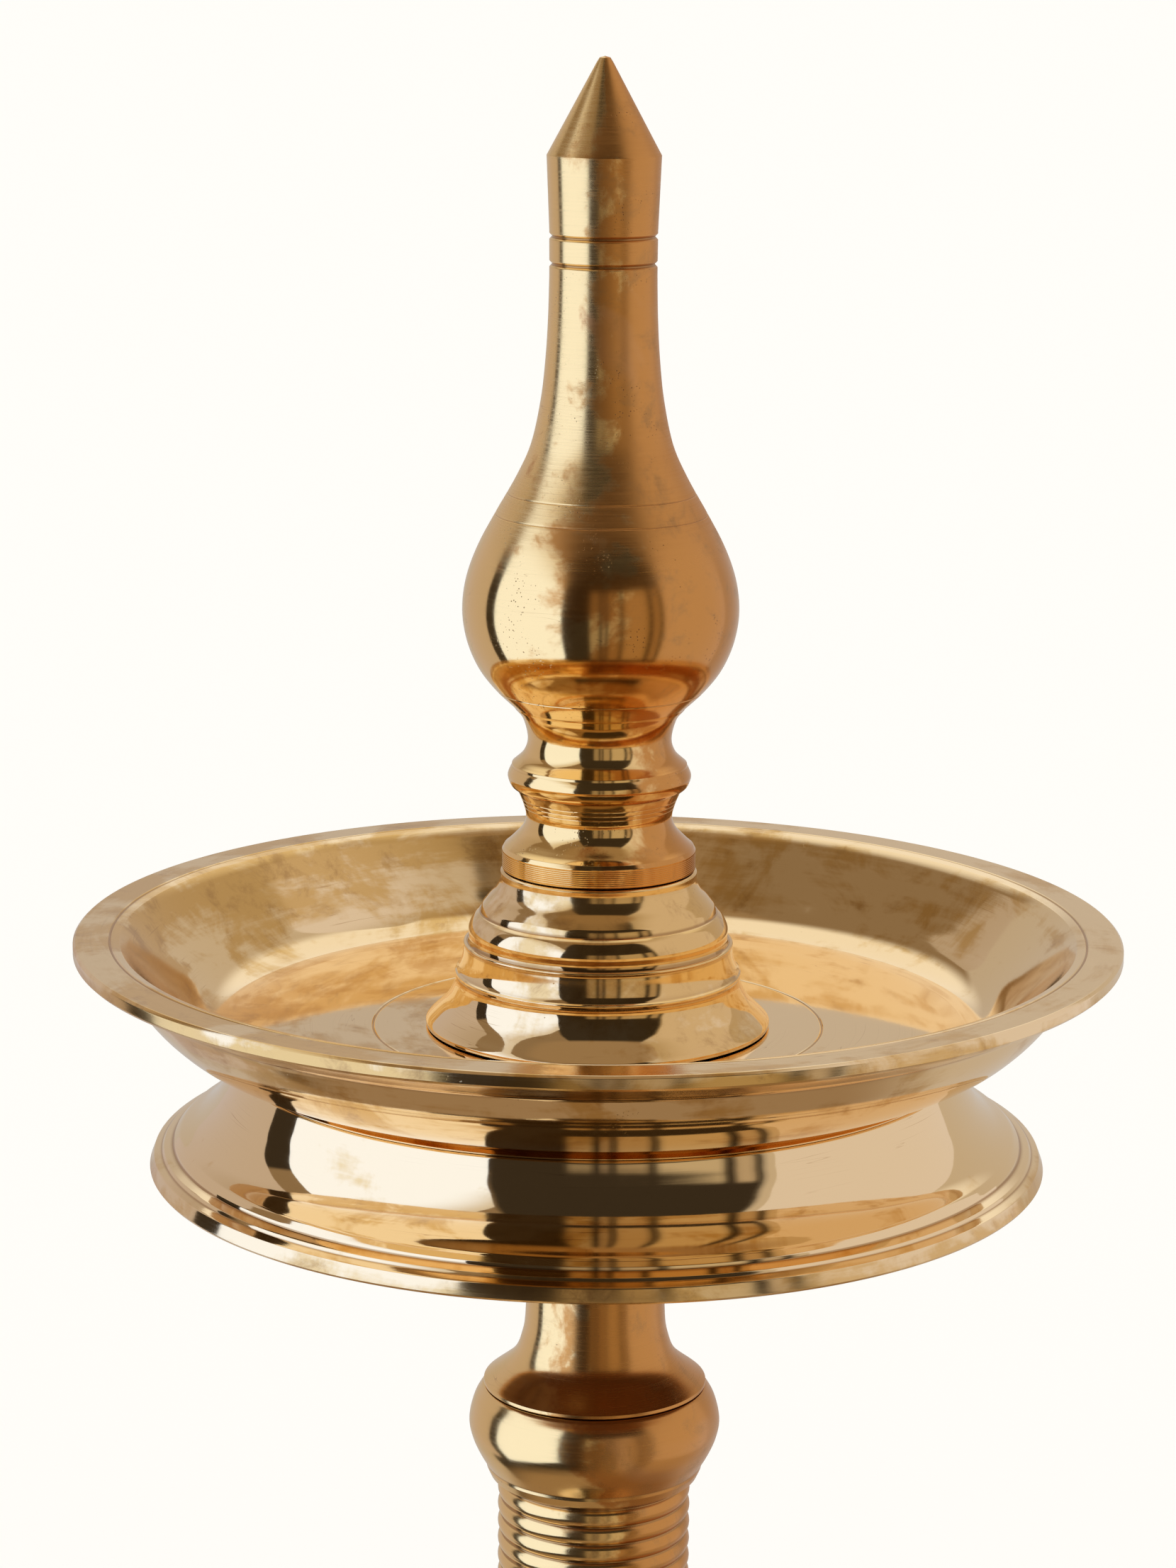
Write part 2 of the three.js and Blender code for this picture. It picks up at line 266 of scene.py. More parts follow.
def turned(name, outline, foot, sides, satin=(), stain=(), longest=5):
    """A casting turned about Z from its outline's two parts.

    satin and stain are (height above the foot, amount) pairs: how satin and how stained it is there.
    """
    finished, cast = outline
    closed = finished[0][0] > 0
    points = divided(eased([*finished, *cast], closed), closed, longest)
    hollow, lengths = hollowness(points, closed)
    first_cast = np.argmin(np.linalg.norm(points - np.array(cast[0]), axis=1))
    marks = {"hollow": hollow, "cast": np.arange(len(points)) >= first_cast}
    for mark, levels in (("satin", satin), ("stain", stain)):
        if levels:
            marks[mark] = np.interp(points[:, 1], *zip(*levels))
    angles = np.arange(sides) * 2 * math.pi / sides
    rings = []
    for radius, height in points:
        around = angles if radius > 1e-6 else angles[:1]
        ring = [radius * np.cos(around), radius * np.sin(around), np.full(len(around), foot + height)]
        rings.append(np.stack(ring, axis=1))
    return skin(name, rings, lengths, marks, sides)


def thread_depth(height, angles):
    """How deep a thread is cut, from 0 at its crest to 1 at its root, at a height."""
    phase = np.mod(height / THREAD_PITCH - angles / (2 * math.pi), 1)
    return np.clip((1 + 2 * THREAD_FLAT) * np.abs(2 * phase - 1) - THREAD_FLAT, 0, 1)


def stud(name, sides=STUD_SIDES):
    """A stud with a real screw thread, chamfered at both ends."""
    bottom, length = foot_and_height(name)
    angles = np.arange(sides) * 2 * math.pi / sides
    rings = [np.array([[0, 0, bottom + length]])]
    depths = [0.0]
    steps = math.ceil(length / THREAD_PITCH * STEPS_PER_TURN)
    for i in range(steps + 1):
        height = bottom + length * (1 - i / steps)
        end = min(height - bottom, bottom + length - height)
        cut = thread_depth(height, angles)
        radius = np.minimum(STUD_RADIUS - THREAD_DEPTH * cut, STUD_END_RADIUS + end)
        ring = [radius * np.cos(angles), radius * np.sin(angles), np.full(sides, height)]
        rings.append(np.stack(ring, axis=1))
        depths.append(cut)
    rings.append(np.array([[0, 0, bottom]]))
    depths.append(0.0)
    along = STUD_RADIUS + np.arange(steps + 1) * length / steps
    lengths = np.concatenate([[0], along, [2 * STUD_RADIUS + length]])
    return skin(name + "_thread", rings, lengths, {"hollow": depths}, sides)


def hex_nut(sides=RING_SIDES):
    """A hexagonal nut with chamfered corners and a threaded bore."""
    bottom, thickness = foot_and_height("base_nut")
    angles = np.arange(sides) * 2 * math.pi / sides
    flat = NUT_ACROSS_FLATS / 2
    hexagon = flat / np.cos(np.mod(angles, math.pi / 3) - math.pi / 6)
    face = flat - NUT_CHAMFER
    slope = math.tan(math.radians(30))
    chamfer = (hexagon.max() - face) * slope

    def ring(radius, height):
        radius = np.broadcast_to(radius, sides)
        return np.stack([radius * np.cos(angles), radius * np.sin(angles), np.full(sides, height)], axis=1)

    drops = [chamfer * k / 5 for k in range(6)]
    rings = [ring(np.minimum(hexagon, face + d / slope), bottom + thickness - d) for d in drops]
    rings += [ring(np.minimum(hexagon, face + d / slope), bottom + d) for d in reversed(drops)]
    outer = len(rings)
    steps = math.ceil(thickness / THREAD_PITCH * STEPS_PER_TURN)
    depths = [0.0] * outer
    for i in range(steps + 1):
        height = bottom + thickness * i / steps
        end = min(height - bottom, bottom + thickness - height)
        cut = 1 - thread_depth(height, angles)
        rings.append(ring(BORE + np.maximum(NUT_THREAD_DEPTH * (1 - cut), NUT_THREAD_DEPTH - end), height))
        depths.append(1 - cut)
    lengths = np.arange(len(rings) + 1) * 0.5
    nut = skin("base_nut_hex", rings, lengths, {"hollow": depths}, sides)
    nut.data.set_sharp_from_angle(angle=math.radians(28))
    return nut


# ---- the castings' outlines -------------------------------------------------------------------

def finial_outline(top):
    """Pointed cap, slender neck, bulb, ring and collar, hollow over a tapped foot."""
    bulb = curve([
        (14.05, 157.5), (14.3, 147), (14.9, 136.5), (16.1, 125.5), (18.6, 113.8), (22.5, 105), (27.6, 96),
        (32.4, 87), (35.5, 78.5), (36.56, 70), (35.4, 62), (32.4, 54.8), (28, 49), (22.9, 44.1),
    ])
    upper_cove = curve([(22.6, 43.6), (20.4, 40.8), (19.1, 35.5), (20.2, 31.6), (22.9, 28.9)])
    ring = curve([(23.7, 27.4), (24.4, 25.3), (23.5, 22.8), (21.9, 21.6)])
    lower_cove = curve([(21.4, 20.6), (20.2, 17.6), (19.5, 14.2), (20.6, 10.9), (24.2, 7.1)])
    collar = [(25.3, 6.2), (25.85, 5.2), (25.85, 0.3), (25.5, 0)]
    outside = [
        (0, top), (1.4, top - 0.4), (2.2, top - 1.7), (14.9, 188.6), (14.1, 169.2),
        *groove(14.1, 167.9), *groove(14.05, 160.8),
        *scored(bulb, [100.9, 95.4, 48.4]),
        *upper_cove, (23.3, 28.6), (23.3, 28.0),
        *ring,
        *scored(lower_cove, [19.4, 18.2, 17.0], 0.12),
        *scored(collar, [4.6 - 0.52 * k for k in range(8)], 0.07),
    ]
    core = [(BORE, 0), (BORE, 42), (22, 54), (30, 66), (30, 76), (22, 93), (10, 112), (7.5, 150), (0, 156)]
    return outside, core


def boss_outline(top):
    """The moulded cone that stands in the bowl, hollow round a hub."""
    outside = [
        (25.6, top), (26.3, top - 0.5), (26.2, top - 1.2),
        *curve([(26.2, top - 2.2), (26.6, top - 3.6), (27.7, top - 5.7), (29.4, top - 7.6),
                (31, top - 9.5)]),
        (31.2, top - 9.9), (31.6, top - 11.5),
        *curve([(32.1, top - 11.7), (33.1, top - 12.6), (34, top - 14), (34.6, top - 15.4),
                (34.8, top - 16.6), (34.7, top - 17.9), (34.75, top - 18.7), (35.1, top - 19.6)]),
        (36, top - 19.8), (36.2, top - 20.2), (35.9, top - 20.6),
        *curve([(35.9, top - 20.9), (36, top - 21.5), (36.5, top - 24.2), (37.2, top - 26.4),
                (37.9, top - 27.5)]),
        (38.4, top - 27.8), (38.5, top - 28.3), (38.2, top - 28.9),
        *curve([(38.15, top - 29.3), (38.2, top - 30.3), (38.6, top - 31.6), (39.9, top - 34.4),
                (41.7, top - 36.9), (45.7, top - 40.8)]),
        (46.2, 1.2), (46.2, 0.3), (45.9, 0),
    ]
    inside = [(42, 0), (36, 7), (33, 18), (28, 28), (22, 33), (14, 33), (14, 1.5), (BORE, 1.5), (BORE, top)]
    return outside, inside


def bowl_outline(top):
    """Level floor, sloping wall and flat moulded rim, with a foot ring below. It starts at the bore."""
    floor = 8.05
    inside = [
        (BORE, floor), (60, floor), (60.4, floor - 0.4), (60.8, floor),
        *curve([(99, floor), (104.4, floor + 1.1), (109, floor + 4.2), (114.6, top - 15.4),
                (120.4, top - 8.6), (126, top - 2)]),
        (127.7, top - 0.5), (129.8, top), (130.3, top - 0.5), (130.8, top),
    ]
    outside = [
        (139.3, top), (140, top - 0.7), (140, top - 3.2), (139.2, top - 4), (126.9, top - 9.9),
        *curve([(126.2, top - 10.8), (122.8, top - 16), (118, top - 21.4), (111.8, top - 26.4),
                (104, top - 30), (94, top - 31.6)]),
        (93.4, top - 31.9), (95.6, top - 33.1), (97.9, 0.4), (97.6, 0), (87, 0),
    ]
    underside = [(86, 3.3), (31, 3.3), (30, 0), (BORE, 0)]
    return inside + outside, underside


def skirt_outline(top):
    """A flared ring with a web across its top."""
    web = 24.95
    wall = curve([(97.5, top - 0.4), (98.9, top - 4), (100.9, top - 8.6), (103.9, top - 13.5),
                  (107.9, top - 17.6), (112.4, top - 20.3)])
    outside = [
        (97, top), *wall, (112.9, top - 20.8), (113.9, top - 21.8), (114.2, top - 22.7),
        (116.7, top - 23.6),
        (117.3, top - 24.4), (119.4, top - 25.3), (120.6, top - 28.5), (120, 0), (117.6, 0),
    ]
    inside = [
        (112.4, 4.2), (106.6, 7.4), (101.6, 12), (98, 17.2), (95.6, 22.6), (94.6, web), (BORE, web),
        (BORE, top),
    ]
    return outside, inside


def neck_outline(top):
    """A waisted spool between the column and the skirt."""
    outside = [
        (32, top), (32.6, top - 0.6), (32.6, top - 3),
        *curve([(31.6, top - 3.8), (25, top - 8), (20.8, top - 15), (19.2, top - 25), (19, top - 42),
                (19, 21.8), (20.2, 13), (23, 7.2), (29.8, 1.6)]),
        (30.4, 1.1), (30.5, 0.3), (30.2, 0),
    ]
    return outside, [(BORE, 0), (BORE, top)]


def upper_column_outline(top):
    """A swelling bead, then a ribbed shaft and a small foot."""
    ribs_top = top - 27.6
    ribs_bottom = ribs_top - UPPER_RIBS * RIB_PITCH
    outside = [
        (30.4, top),
        *curve([(30.9, top - 0.5), (33.1, top - 4.4), (34.4, top - 10), (33.7, top - 14.4),
                (31.9, top - 18.6), (29.7, top - 22.4)]),
        (29.6, top - 23.4), (28.6, top - 25.6), (26.6, top - 26.6),
        *ribs(ribs_top, UPPER_RIBS),
        (27.8, ribs_bottom - 0.8), (28.6, ribs_bottom - 2.4), (27.8, ribs_bottom - 4),
        *curve([(25.6, ribs_bottom - 5), (25.2, ribs_bottom - 7.6), (27, ribs_bottom - 10.6), (30.8, 3)]),
        (31.4, 2.4), (31.4, 0.4), (31, 0),
    ]
    inside = [(BORE, 0), (BORE, 28), (15, 36), (15, top - 38), (BORE, top - 30), (BORE, top)]
    return outside, inside


def knop_outline(top):
    """A bulb between two coves."""
    outside = [
        (31, top), (31.4, top - 0.4), (31.4, top - 2.2),
        *curve([(30.6, top - 3), (27, top - 5), (25.4, top - 8.4), (26.6, top - 10.6)]),
        *curve([(27.4, top - 11), (34.6, 38.6), (39.6, 32.4), (40.8, 25.4), (38, 18), (31.6, 12.4),
                (28, 10.6)]),
        *curve([(27, 9.8), (26.4, 7.4), (28.2, 4.8), (32.6, 2.9)]),
        (33.4, 2.3), (33.4, 0.4), (33, 0),
    ]
    return outside, [(BORE, 0), (BORE, top)]


def lower_column_outline(top):
    """A short ribbed shaft that flares into a round foot."""
    ribs_top = top - 11
    ribs_bottom = ribs_top - LOWER_RIBS * RIB_PITCH
    outside = [
        (33, top), (33.4, top - 0.4), (33.4, top - 2.2),
        *curve([(32.6, top - 3), (28.2, top - 5.4), (26.4, top - 9.4)]),
        *ribs(ribs_top, LOWER_RIBS),
        (27.8, ribs_bottom - 0.8), (28.6, ribs_bottom - 2.4), (27.8, ribs_bottom - 4),
        *curve([(26.4, ribs_bottom - 5), (26.8, ribs_bottom - 14), (29.6, 20.6), (35, 11.4), (44, 4.8)]),
        (45, 4), (45.6, 3.2), (46, 2.6), (46, 0.4), (45.6, 0),
    ]
    inside = [(BORE, 0), (BORE, 34), (15, 42), (15, top - 38), (BORE, top - 30), (BORE, top)]
    return outside, inside


def base_outline(top):
    """A stepped bell on a wide flat foot, hollow round the hub that holds the stud."""
    outside = [
        (46, top), (46.8, top - 0.8), (46.2, top - 3),
        *curve([(46.8, 103.6), (49.4, 97.6), (53.4, 93.4), (59, 90.6)]),
        (60, 89),
        *curve([(60.4, 88.2), (63.6, 85.4), (65.2, 81), (65.2, 77.4)]),
        (66.4, 76.2), (66, 75),
        *curve([(66, 74.4), (67.8, 62.4), (73.4, 49.4), (83, 38), (95.6, 29.4), (109, 24.6)]),
        (109.6, 23.8),
        *curve([(110.4, 23.4), (112.4, 22.2), (113, 20.4)]),
        *curve([(114, 19.8), (122, 17.6), (127, 14.8), (129.2, 11.4)]),
        (130, 10.4), (130, 0.8), (129.2, 0),
    ]
    inside = [
        (120, 0), (118.6, 8.6),
        *curve([(107.6, 18.6), (92, 24.6), (78.6, 34), (68.6, 46), (62.6, 60), (60.8, 74), (56, 83),
                (44, 94)], 3),
        (22, 98), (16, 92), (16, 88), (BORE, 88), (BORE, top),
    ]
    return outside, inside


def washer_outline(outer, thickness):
    """A flat ring round a stud."""
    return [(outer, thickness), (outer, 0)], [(BORE + 0.3, 0), (BORE + 0.3, thickness)]


# ---- material nodes ---------------------------------------------------------------------------

def add(tree, kind, inputs=None, **settings):
    """A shader node. An input is a number, a colour or another node's output."""
    node = tree.nodes.new("ShaderNode" + kind)
    for key, value in settings.items():
        setattr(node, key, value)
    for key, value in (inputs or {}).items():
        if isinstance(value, bpy.types.NodeSocket):
            tree.links.new(value, node.inputs[key])
        else:
            node.inputs[key].default_value = value
    return node


def maths(tree, operation, a, b=0.0):
    """One Math node's output."""
    return add(tree, "Math", {0: a, 1: b}, operation=operation).outputs[0]


def multiplied(tree, a, b):
    """The product of two numbers."""
    return maths(tree, "MULTIPLY", a, b)


def total(tree, first, *others):
    """The sum of some numbers."""
    for other in others:
        first = maths(tree, "ADD", first, other)
    return first


def blended(tree, factor, low, high):
    """A number between two others."""
    return total(tree, low, multiplied(tree, factor, high - low))


def marked(tree, name):
    """A number that the mesh gives at each point."""
    return add(tree, "Attribute", attribute_name=name, attribute_type="GEOMETRY").outputs["Fac"]


def between(tree, value, low, high, to_low=0.0, to_high=1.0):
    """A value eased from one range into another, and held at its ends."""
    limits = {"Value": value, "From Min": low, "From Max": high, "To Min": to_low, "To Max": to_high}
    return add(tree, "MapRange", limits, interpolation_type="SMOOTHSTEP").outputs["Result"]


def noise(tree, vector, scale, detail=3.0, rough=0.5, distortion=0.0):
    """A noise texture's factor."""
    inputs = {
        "Vector": vector, "Scale": scale, "Detail": detail, "Roughness": rough, "Distortion": distortion,
    }
    return add(tree, "TexNoise", inputs).outputs["Fac"]


def mixed(tree, factor, a, b):
    """Two colours mixed by a factor."""
    node = add(tree, "Mix", data_type="RGBA")
    for index, value in ((0, factor), (6, a), (7, b)):
        if isinstance(value, bpy.types.NodeSocket):
            tree.links.new(value, node.inputs[index])
        else:
            node.inputs[index].default_value = (*value, 1) if index else value
    return node.outputs[2]


def turning_vector(tree, around, along):
    """A place on a turned surface: how often a pattern repeats round it, and per millimetre along it."""
    split = add(tree, "SeparateXYZ", {0: add(tree, "UVMap", uv_map="turning").outputs[0]})
    angle = multiplied(tree, split.outputs[0], 2 * math.pi)
    x = multiplied(tree, maths(tree, "COSINE", angle), around)
    y = multiplied(tree, maths(tree, "SINE", angle), around)
    z = multiplied(tree, split.outputs[1], along)
    return add(tree, "CombineXYZ", {0: x, 1: y, 2: z}).outputs[0]


def turned_noise(tree, around, along, **settings):
    """Noise drawn out by turning."""
    return noise(tree, turning_vector(tree, around, along), 1.0, **settings)


def new_material(name):
    """An empty node material and its output node."""
    material = bpy.data.materials.new(name)
    material.use_nodes = True
    tree = material.node_tree
    tree.nodes.clear()
    return material, tree, add(tree, "OutputMaterial")


def finish_surface(tree, output, colour, rough, relief, metallic=0.0):
    """Joins a surface's colour, roughness and relief, which is in millimetres, to the output node."""
    bump = add(tree, "Bump", {"Height": relief, "Distance": MM, "Strength": 1.0})
    shader = add(tree, "BsdfPrincipled", {
        "Base Color": colour, "Metallic": metallic, "Roughness": rough, "Normal": bump.outputs[0],
    })
    tree.links.new(shader.outputs[0], output.inputs[0])


# Surface colours, in linear red, green and blue.
BRASS = (0.90, 0.665, 0.37)
STAINED_BRASS = (0.76, 0.485, 0.19)
TARNISHED_BRASS = (0.71, 0.435, 0.15)
WARM_BRASS = (0.89, 0.60, 0.25)
BROWNED_BRASS = (0.60, 0.27, 0.07)
THREAD_BRASS = (0.78, 0.46, 0.18)
CAST_BRASS = (0.30, 0.155, 0.065)
BROWN = (0.40, 0.21, 0.075)
PINK = (0.68, 0.40, 0.22)
SOOT = (0.10, 0.045, 0.02)
STEEL = (0.60, 0.60, 0.58)
DULL_STEEL = (0.42, 0.41, 0.39)
RED_FIBRE = (0.24, 0.045, 0.022)
DARK_FIBRE = (0.13, 0.022, 0.012)

# What streaks and the mesh's stain mark add to the clouds, and the sums at which stains start and end.
STREAK_SHARE = 0.55
STAIN_SHARE = 0.42
STAIN_EDGE = (0.92, 1.10)

# How strongly each kind of wear covers the brass, from 0 to 1.
TARNISH_COVER = 0.6
CREASE_COVER = 0.8
SCRATCH_COVER = 0.5
PINHOLE_COVER = 0.85

# Depths of the relief, in millimetres.
TOOL_WAVES = 0.003
UNEVENNESS = 0.005
CAST_GRAIN = 0.35
PINHOLE_DEPTH = 0.05
STEEL_LINES = 0.01
FIBRE_GRAIN = 0.05

# How near the middle of its noise a scratch starts and is full.
SCRATCH_EDGE = (0.004, 0.0005)
PINHOLES_PER_METRE = 1100

# The roughness of cast skin and of fibre, and how much stains and smudges add to the gloss's own.
CAST_ROUGHNESS = 0.55
FIBRE_ROUGHNESS = 0.7
STAIN_ROUGHENS = 0.6
SMUDGE_ROUGHENS = 0.4


def stain_and_painted_shade_mask(tree, place, side):
    """Where the brass is stained, in clouds drawn out round the axis, from 0 to 1, plus painted shade: more
    stain towards the +X side, as much as side asks.
    """
    ring = add(tree, "SeparateXYZ", {0: turning_vector(tree, 1.0, 0.0)})
    clouds = noise(tree, place, 34, detail=5, rough=0.62, distortion=0.6)
    streaks = turned_noise(tree, 2.4, 0.12, detail=4, rough=0.65, distortion=0.3)
    streaks = multiplied(tree, streaks, STREAK_SHARE)
    # Painted shade: side adds stain towards the +X side, darkening that side as if shaded (lightening it
    # where side is below 0).
    painted_side_shade = multiplied(tree, ring.outputs[0], side)
    wanted = multiplied(tree, marked(tree, "stain"), STAIN_SHARE)
    return between(tree, total(tree, clouds, streaks, painted_side_shade, wanted), *STAIN_EDGE)


def scratches(tree, place):
    """Fine arcs in a few patches, from 0 to 1."""
    arcs = turned_noise(tree, 0.7, 0.5, detail=1, rough=0.4)
    off_middle = maths(tree, "ABSOLUTE", maths(tree, "SUBTRACT", arcs, 0.5))
    patches = between(tree, noise(tree, place, 24, detail=2), 0.55, 0.65)
    return multiplied(tree, between(tree, off_middle, *SCRATCH_EDGE), patches)


def pinholes(tree, place, pits):
    """Tiny casting holes in clusters, from 0 to 1."""
    cells = add(tree, "TexVoronoi", {"Vector": place, "Scale": PINHOLES_PER_METRE}).outputs["Distance"]
    clusters = noise(tree, place, 60, detail=4, rough=0.7)
    clusters = between(tree, clusters, 0.68 - 0.2 * pits, 0.80 - 0.2 * pits)
    return multiplied(tree, between(tree, cells, 0.22, 0.12), clusters)


def brass_colour(tree, place, clean, stained, stain_and_painted_shade, smudge, holes, blush):
    """Clean metal under pinkish and brown stains, which also carry the painted side shade, dark creases,
    scratches, holes and cast skin.
    """
    pinkish = between(tree, noise(tree, place, 21, distortion=1.1), 0.58, 0.74)
    pinkish = multiplied(tree, pinkish, stain_and_painted_shade)
    tarnish = multiplied(tree, stain_and_painted_shade, smudge)
    crease = between(tree, marked(tree, "hollow"), 0.12, 0.75)
    # The stain mask carries the painted side shade, and this mix paints that shade into the colour.
    colour = mixed(tree, stain_and_painted_shade, clean, stained)
    colour = mixed(tree, multiplied(tree, pinkish, blush), colour, PINK)
    colour = mixed(tree, multiplied(tree, tarnish, TARNISH_COVER), colour, BROWN)
    colour = mixed(tree, multiplied(tree, crease, CREASE_COVER), colour, BROWN)
    colour = mixed(tree, multiplied(tree, scratches(tree, place), SCRATCH_COVER), colour, BROWN)
    colour = mixed(tree, multiplied(tree, holes, PINHOLE_COVER), colour, SOOT)
    return mixed(tree, marked(tree, "cast"), colour, mixed(tree, smudge, CAST_BRASS, SOOT))


def brass_roughness(tree, rough, fine, stain_and_painted_shade, smudge):
    """Rougher where it is satin, stained or smudged, and where the painted side shade lies, and roughest
    where it was left as cast.
    """
    gloss = blended(tree, marked(tree, "satin"), *rough)
    uneven = between(tree, fine, 0.35, 0.7, 0.85, 1.35)
    uneven = total(tree, uneven, multiplied(tree, stain_and_painted_shade, STAIN_ROUGHENS),
                   multiplied(tree, smudge, SMUDGE_ROUGHENS))
    turned_part = multiplied(tree, gloss, uneven)
    return maths(tree, "MAXIMUM", turned_part, multiplied(tree, marked(tree, "cast"), CAST_ROUGHNESS))


def brass_relief(tree, place, lines, fine, holes):
    """Turning lines, slow tool waves, unevenness, sand-cast grain and pinholes, in millimetres."""
    broad = turned_noise(tree, 1.6, 0.5, detail=2)
    wavy = noise(tree, place, 120)
    sand = multiplied(tree, noise(tree, place, 620, detail=5, rough=0.75), marked(tree, "cast"))
    height = multiplied(tree, fine, blended(tree, marked(tree, "satin"), *lines))
    height = total(tree, height, multiplied(tree, broad, TOOL_WAVES), multiplied(tree, wavy, UNEVENNESS),
                   multiplied(tree, sand, CAST_GRAIN))
    return maths(tree, "SUBTRACT", height, multiplied(tree, holes, PINHOLE_DEPTH))


def brass(name, clean, stained, rough=(0.04, 0.2), lines=(0.0006, 0.01), pits=0.2, blush=0.3, side=0.0,
          shift=0.0):
    """Brass as turned and handled.

    The mesh's `satin` mark runs from polished (0) to satin (1), and rough and lines give the
    roughness and the depth of the turning lines, in millimetres, at both. Its `stain` mark is how
    much of the surface the stains take, and its `cast` mark is 1 where the sand-cast skin was left.
    pits is how many pinholes there are, blush how pink the stains are, side how much painted shade lies
    on the +X side as extra stain (painted light there where side is below 0), and shift moves the patterns.
    """
    material, tree, output = new_material(name)
    place = add(tree, "TexCoord").outputs["Object"]
    moved = (shift, 0.7 * shift, 0.3 * shift)
    place = add(tree, "VectorMath", {0: place, 1: moved}, operation="ADD").outputs[0]
    stain_and_painted_shade = stain_and_painted_shade_mask(tree, place, side)
    smudge = between(tree, noise(tree, place, 95, detail=6, rough=0.7, distortion=0.4), 0.50, 0.72)
    fine = turned_noise(tree, 0.9, 3.2, detail=5, rough=0.72)
    holes = pinholes(tree, place, pits)
    colour = brass_colour(tree, place, clean, stained, stain_and_painted_shade, smudge, holes, blush)
    dull = brass_roughness(tree, rough, fine, stain_and_painted_shade, smudge)
    relief = brass_relief(tree, place, lines, fine, holes)
    finish_surface(tree, output, colour, dull, relief, metallic=1.0)
    return material


def plated_steel():
    """Zinc-plated steel, dulled by handling."""
    material, tree, output = new_material("plated_steel")
    place = add(tree, "TexCoord").outputs["Object"]
    grain = noise(tree, place, 260, detail=5, rough=0.7)
    colour = mixed(tree, between(tree, grain, 0.35, 0.7), STEEL, DULL_STEEL)
    rough = between(tree, grain, 0.3, 0.75, 0.28, 0.5)
    relief = multiplied(tree, turned_noise(tree, 1.5, 3.0, detail=4, rough=0.6), STEEL_LINES)
    finish_surface(tree, output, colour, rough, relief, metallic=1.0)
    return material


def fibre():
    """Red vulcanised fibre, as of an oil-tight washer."""
    material, tree, output = new_material("red_fibre")
    place = add(tree, "TexCoord").outputs["Object"]
    grain = noise(tree, place, 900, detail=5, rough=0.7)
    colour = mixed(tree, between(tree, grain, 0.35, 0.7), RED_FIBRE, DARK_FIBRE)
    finish_surface(tree, output, colour, FIBRE_ROUGHNESS, multiplied(tree, grain, FIBRE_GRAIN))
    return material


# ---- the pieces ---------------------------------------------------------------------------------

def finish_piece(piece, node, body, material):
    """Puts a piece in its CAD node's place."""
    piece.data.materials.append(material)
    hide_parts(node)
    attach(piece, body)


def casting(node, outline, sides, material, satin, stain):
    """A turned casting in its CAD node's place. Its body has the node's name."""
    foot, height = foot_and_height(node)
    piece = turned(node + "_casting", outline(height), foot, sides, satin, stain)
    finish_piece(piece, node, node, material)


def make_castings():
    """The nine castings. Their (height, amount) pairs say how satin and how stained each is, and where."""
    # side paints shade on the +X side of a material as extra stain; the dish's small negative side paints
    # light there instead.
    satin = brass("satin_brass", WARM_BRASS, BROWNED_BRASS, rough=(0.04, 0.24), pits=0.7, blush=0.5,
                  side=0.4, shift=3.1)
    moulded = brass("boss_brass", BRASS, STAINED_BRASS, pits=0.2, blush=0.15, side=0.2, shift=1.2)
    polished = brass("polished_brass", BRASS, STAINED_BRASS, pits=0.1, blush=0.15, shift=0.4)
    dish = brass("dish_brass", BRASS, TARNISHED_BRASS, pits=0.2, blush=0.1, side=-0.08, shift=0.9)
    column = brass("column_brass", WARM_BRASS, BROWNED_BRASS, rough=(0.08, 0.18), pits=0.4, side=0.4,
                   shift=1.7)

    casting("finial", finial_outline, SLENDER_SIDES, satin,
            [(5, 0.15), (42, 0.25), (60, 0.2), (80, 0.3), (95, 1), (112, 1), (125, 0.8), (188, 0.7),
             (190, 1)],
            [(0, 0.45), (20, 0.3), (36, 0.15), (50, 0.65), (90, 0.75), (150, 0.7), (185, 0.65), (190, 0.85)])
    casting("stepped_boss", boss_outline, SLENDER_SIDES, moulded,
            [(0, 0), (25, 0.05), (40, 0.25)], [(0, 0.38), (14, 0.6), (40, 0.9)])
    casting("oil_bowl", bowl_outline, WIDE_SIDES, dish,
            [(8, 0.02), (25, 0.15), (34, 0.4)], [(8, 0.36), (12, 0.42), (26, 0.5), (31, 0.75), (33.5, 0.5)])
    casting("skirt", skirt_outline, WIDE_SIDES, polished,
            [(0, 0.4), (6, 0)], [(0, 0.8), (3, 0.6), (6, 0.05)])
    casting("neck", neck_outline, SLENDER_SIDES, column,
            [(0, 0.7), (89, 0.5)], [(0, 0.8), (89, 0.6)])
    casting("upper_column", upper_column_outline, SLENDER_SIDES, column,
            [(0, 0.6)], [(0, 0.6)])
    casting("knop", knop_outline, SLENDER_SIDES, column, [(0, 0.6)], [(0, 0.6)])
    casting("lower_column", lower_column_outline, SLENDER_SIDES, column,
            [(0, 0.6)], [(0, 0.6)])
    casting("base", base_outline, WIDE_SIDES, polished,
            [(0, 0.4), (20, 0.1)], [(0, 0.7), (30, 0.3)])


